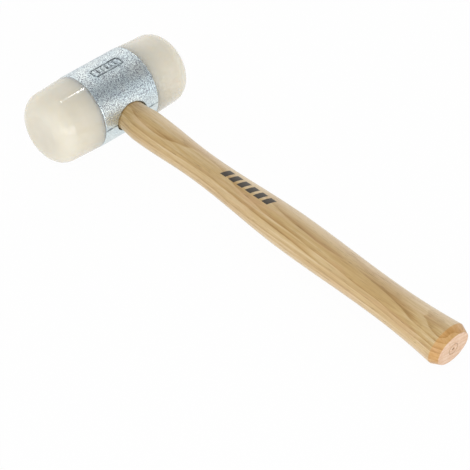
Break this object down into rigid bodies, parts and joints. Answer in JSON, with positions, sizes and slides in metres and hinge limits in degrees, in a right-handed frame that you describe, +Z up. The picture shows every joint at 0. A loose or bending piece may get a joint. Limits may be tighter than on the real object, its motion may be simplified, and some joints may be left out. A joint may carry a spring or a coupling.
{
  "type": "mallet",
  "caption": "Soft-faced mallet lying on its side: round nylon strike faces in a cast casing, wedged on a curved oval ash handle.",
  "frame": {"origin": "centre of the footprint, on the surface that the casing and the butt rest on", "axes": "+X runs along the handle from the head to the butt, Y is the head axis with right_face at +Y, +Z is up"},
  "size_m": [0.3794, 0.1286, 0.0605],
  "materials": {
    "zinc_casting": "rough cast, zinc plated",
    "nylon": "off-white translucent nylon, smooth turned",
    "ash": "sanded, thin clear lacquer",
    "wedge_wood": "raw hardwood",
    "wedge_steel": "plain steel, driven and ground flush"
  },
  "bodies": {
    "root": {"casing": "zinc_casting", "handle": "ash", "wooden_wedge": "wedge_wood", "steel_wedges": "wedge_steel"},
    "left_face_body": {"left_face": "nylon"},
    "right_face_body": {"right_face": "nylon"}
  },
  "joints": [
    {"name": "left_face_pull", "type": "slide", "parent": "root", "child": "left_face_body", "axis": [0, -1, 0], "range_m": [0, 0.009]},
    {"name": "right_face_pull", "type": "slide", "parent": "root", "child": "right_face_body", "axis": [0, 1, 0], "range_m": [0, 0.009]}
  ]
}
